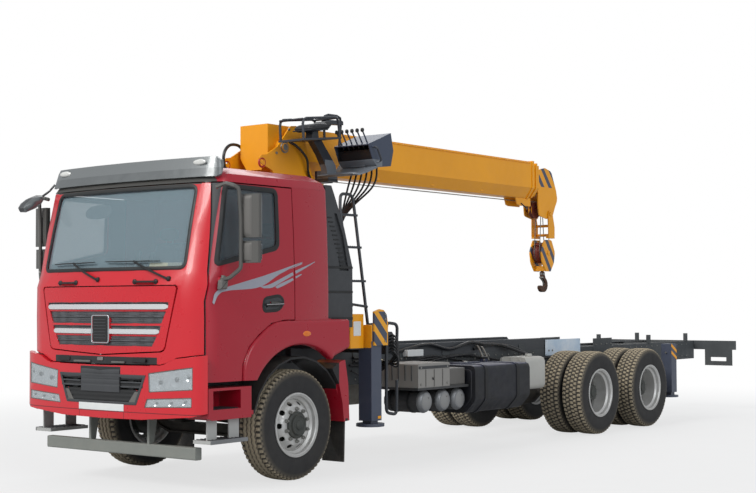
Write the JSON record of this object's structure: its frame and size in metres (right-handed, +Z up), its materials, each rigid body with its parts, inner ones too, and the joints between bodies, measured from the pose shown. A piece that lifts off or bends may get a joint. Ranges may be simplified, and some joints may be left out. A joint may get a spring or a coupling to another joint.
{
  "type": "truck-mounted crane",
  "caption": "Three-axle cab-over truck chassis with no cargo bed, and a slewing telescopic crane with side outriggers behind the cab.",
  "frame": {"origin": "on the ground under the middle of the overall length and width", "axes": "+Z up, -Y towards the front of the truck, +X towards its left side"},
  "size_m": [3.2, 11.97, 3.7993],
  "materials": {
    "cab_red": "gloss paint",
    "crane_yellow": "gloss paint",
    "jack_blue": "satin paint",
    "frame_black": "matt paint",
    "cast_iron": "rough",
    "tyre": "matt",
    "dark_plastic": "matt",
    "silver_box": "satin paint",
    "visor_grey": "satin paint",
    "black_paint": "satin paint",
    "glass": "clear",
    "seat_cloth": "woven",
    "chrome": "polished",
    "hook_iron": "weathered"
  },
  "bodies": {
    "chassis": {"chassis_frame": "frame_black", "engine": "cast_iron", "front_axle": "cast_iron", "rear_axle_1": "cast_iron", "rear_axle_2": "cast_iron", "bogie_springs": "cast_iron", "front_bumper": "cab_red", "underrun_bar": "frame_black", "front_wing_left": "cab_red", "front_wing_right": "cab_red", "fuel_tank": "black_paint", "battery_and_air_tanks": "dark_plastic", "urea_tank": "silver_box", "exhaust_box": "silver_box", "tail_lamp_bar": "frame_black", "rear_outrigger_beam": "frame_black", "crane_base": "crane_yellow", "access_ladder": "black_paint"},
    "knuckle_left": {"knuckle_left": "cast_iron"},
    "knuckle_right": {"knuckle_right": "cast_iron"},
    "tie_rod": {"tie_rod": "cast_iron"},
    "wheel_front_left": {"wheel_front_left": "tyre"},
    "wheel_front_right": {"wheel_front_right": "tyre"},
    "wheel_rear_1_left": {"wheel_rear_1_left": "tyre"},
    "wheel_rear_1_right": {"wheel_rear_1_right": "tyre"},
    "wheel_rear_2_left": {"wheel_rear_2_left": "tyre"},
    "wheel_rear_2_right": {"wheel_rear_2_right": "tyre"},
    "rear_jack_left": {"rear_jack_left": "jack_blue"},
    "rear_jack_right": {"rear_jack_right": "jack_blue"},
    "outrigger_left": {"front_outrigger_left": "crane_yellow"},
    "outrigger_right": {"front_outrigger_right": "crane_yellow"},
    "front_jack_left": {"front_jack_left": "jack_blue"},
    "front_jack_right": {"front_jack_right": "jack_blue"},
    "turret": {"turret": "crane_yellow", "operator_station": "black_paint", "operator_seat": "seat_cloth"},
    "luff_barrel": {"luff_barrel": "crane_yellow"},
    "luff_rod": {"luff_rod": "chrome"},
    "boom_1": {"boom_section_1": "crane_yellow"},
    "boom_2": {"boom_section_2": "crane_yellow"},
    "boom_3": {"boom_section_3": "crane_yellow"},
    "boom_4": {"boom_section_4": "crane_yellow"},
    "hook_frame": {"hook_frame": "crane_yellow"},
    "hook_block": {"hook_block": "crane_yellow"},
    "hook": {"hook": "hook_iron"},
    "cab": {"cab_floor": "dark_plastic", "cab_rear_wall": "cab_red", "cab_roof": "cab_red", "cab_side_left": "cab_red", "cab_side_right": "cab_red", "cab_front": "cab_red", "windscreen": "glass", "sun_visor": "visor_grey", "air_intake": "dark_plastic", "cab_seats": "seat_cloth"},
    "front_panel": {"front_panel": "cab_red"},
    "door_left": {"door_left": "cab_red", "door_glass_left": "glass"},
    "door_right": {"door_right": "cab_red", "door_glass_right": "glass"}
  },
  "joints": [
    {"name": "cab_tilt", "type": "hinge", "parent": "chassis", "child": "cab", "pos_m": [0, -5.955, 1.22], "axis": [1, 0, 0], "range_deg": [0, 50]},
    {"name": "front_panel_lift", "type": "hinge", "parent": "cab", "child": "front_panel", "pos_m": [0, -5.969, 1.894], "axis": [-1, 0, 0], "range_deg": [0, 75]},
    {"name": "door_left_hinge", "type": "hinge", "parent": "cab", "child": "door_left", "pos_m": [1.2, -5.757, 1.5], "axis": [0, 0, -1], "range_deg": [0, 70]},
    {"name": "door_right_hinge", "type": "hinge", "parent": "cab", "child": "door_right", "pos_m": [-1.2, -5.757, 1.5], "axis": [0, 0, 1], "range_deg": [0, 70]},
    {"name": "steer_left", "type": "hinge", "parent": "chassis", "child": "knuckle_left", "pos_m": [0.88, -4.495, 0.542], "axis": [0, 0, 1], "range_deg": [-35, 35]},
    {"name": "steer_right", "type": "hinge", "parent": "chassis", "child": "knuckle_right", "pos_m": [-0.88, -4.495, 0.542], "axis": [0, 0, 1], "range_deg": [-35, 35]},
    {"name": "tie_rod_pivot", "type": "hinge", "parent": "knuckle_left", "child": "tie_rod", "pos_m": [0.88, -4.305, 0.472], "axis": [0, 0, 1], "range_deg": [-35, 35]},
    {"name": "spin_front_left", "type": "hinge", "parent": "knuckle_left", "child": "wheel_front_left", "pos_m": [1.032, -4.495, 0.542], "axis": [1, 0, 0], "continuous": true},
    {"name": "spin_front_right", "type": "hinge", "parent": "knuckle_right", "child": "wheel_front_right", "pos_m": [-1.032, -4.495, 0.542], "axis": [1, 0, 0], "continuous": true},
    {"name": "spin_rear_1_left", "type": "hinge", "parent": "chassis", "child": "wheel_rear_1_left", "pos_m": [0.92, 1.455, 0.542], "axis": [1, 0, 0], "continuous": true},
    {"name": "spin_rear_1_right", "type": "hinge", "parent": "chassis", "child": "wheel_rear_1_right", "pos_m": [-0.92, 1.455, 0.542], "axis": [1, 0, 0], "continuous": true},
    {"name": "spin_rear_2_left", "type": "hinge", "parent": "chassis", "child": "wheel_rear_2_left", "pos_m": [0.92, 2.855, 0.542], "axis": [1, 0, 0], "continuous": true},
    {"name": "spin_rear_2_right", "type": "hinge", "parent": "chassis", "child": "wheel_rear_2_right", "pos_m": [-0.92, 2.855, 0.542], "axis": [1, 0, 0], "continuous": true},
    {"name": "slew", "type": "hinge", "parent": "chassis", "child": "turret", "pos_m": [0, -3.195, 1.66], "axis": [0, 0, 1], "continuous": true},
    {"name": "luff", "type": "hinge", "parent": "turret", "child": "boom_1", "pos_m": [0, -3.665, 3.4], "axis": [1, 0, 0], "range_deg": [0, 75]},
    {"name": "luff_barrel_pivot", "type": "hinge", "parent": "turret", "child": "luff_barrel", "pos_m": [0, -2.945, 1.79], "axis": [1, 0, 0], "range_deg": [0, 4]},
    {"name": "luff_rod_slide", "type": "slide", "parent": "luff_barrel", "child": "luff_rod", "axis": [0, 0, 1], "range_m": [0, 1]},
    {"name": "boom_extend", "type": "slide", "parent": "boom_1", "child": "boom_2", "axis": [0, 1, 0], "range_m": [0, 2.9]},
    {"name": "boom_extend_3", "type": "slide", "parent": "boom_2", "child": "boom_3", "axis": [0, 1, 0], "range_m": [0, 2.9]},
    {"name": "boom_extend_4", "type": "slide", "parent": "boom_3", "child": "boom_4", "axis": [0, 1, 0], "range_m": [0, 2.9]},
    {"name": "hook_plumb", "type": "hinge", "parent": "boom_4", "child": "hook_frame", "pos_m": [0, 2.035, 2.96], "axis": [1, 0, 0], "range_deg": [-75, 0]},
    {"name": "hoist", "type": "slide", "parent": "hook_frame", "child": "hook_block", "axis": [0, 0, -1], "range_m": [0, 0.5]},
    {"name": "hook_swivel", "type": "hinge", "parent": "hook_block", "child": "hook", "pos_m": [0, 2.035, 2.19], "axis": [0, 0, 1], "continuous": true},
    {"name": "outrigger_left_out", "type": "slide", "parent": "chassis", "child": "outrigger_left", "axis": [1, 0, 0], "range_m": [0, 1.6]},
    {"name": "outrigger_right_out", "type": "slide", "parent": "chassis", "child": "outrigger_right", "axis": [-1, 0, 0], "range_m": [0, 1.6]},
    {"name": "front_jack_left_down", "type": "slide", "parent": "outrigger_left", "child": "front_jack_left", "axis": [0, 0, -1], "range_m": [0, 0.435]},
    {"name": "front_jack_right_down", "type": "slide", "parent": "outrigger_right", "child": "front_jack_right", "axis": [0, 0, -1], "range_m": [0, 0.435]},
    {"name": "rear_jack_left_down", "type": "slide", "parent": "chassis", "child": "rear_jack_left", "axis": [0, 0, -1], "range_m": [0, 0.355]},
    {"name": "rear_jack_right_down", "type": "slide", "parent": "chassis", "child": "rear_jack_right", "axis": [0, 0, -1], "range_m": [0, 0.355]}
  ],
  "couplings": [
    {"joint": "steer_right", "follows": "steer_left", "ratio": 1},
    {"joint": "tie_rod_pivot", "follows": "steer_left", "ratio": -1},
    {"joint": "luff_barrel_pivot", "follows": "luff", "ratio": 0.051},
    {"joint": "luff_rod_slide", "follows": "luff", "m_per_rad": 0.7615},
    {"joint": "hook_plumb", "follows": "luff", "ratio": -1},
    {"joint": "boom_extend_3", "follows": "boom_extend", "ratio": 1},
    {"joint": "boom_extend_4", "follows": "boom_extend", "ratio": 1}
  ]
}
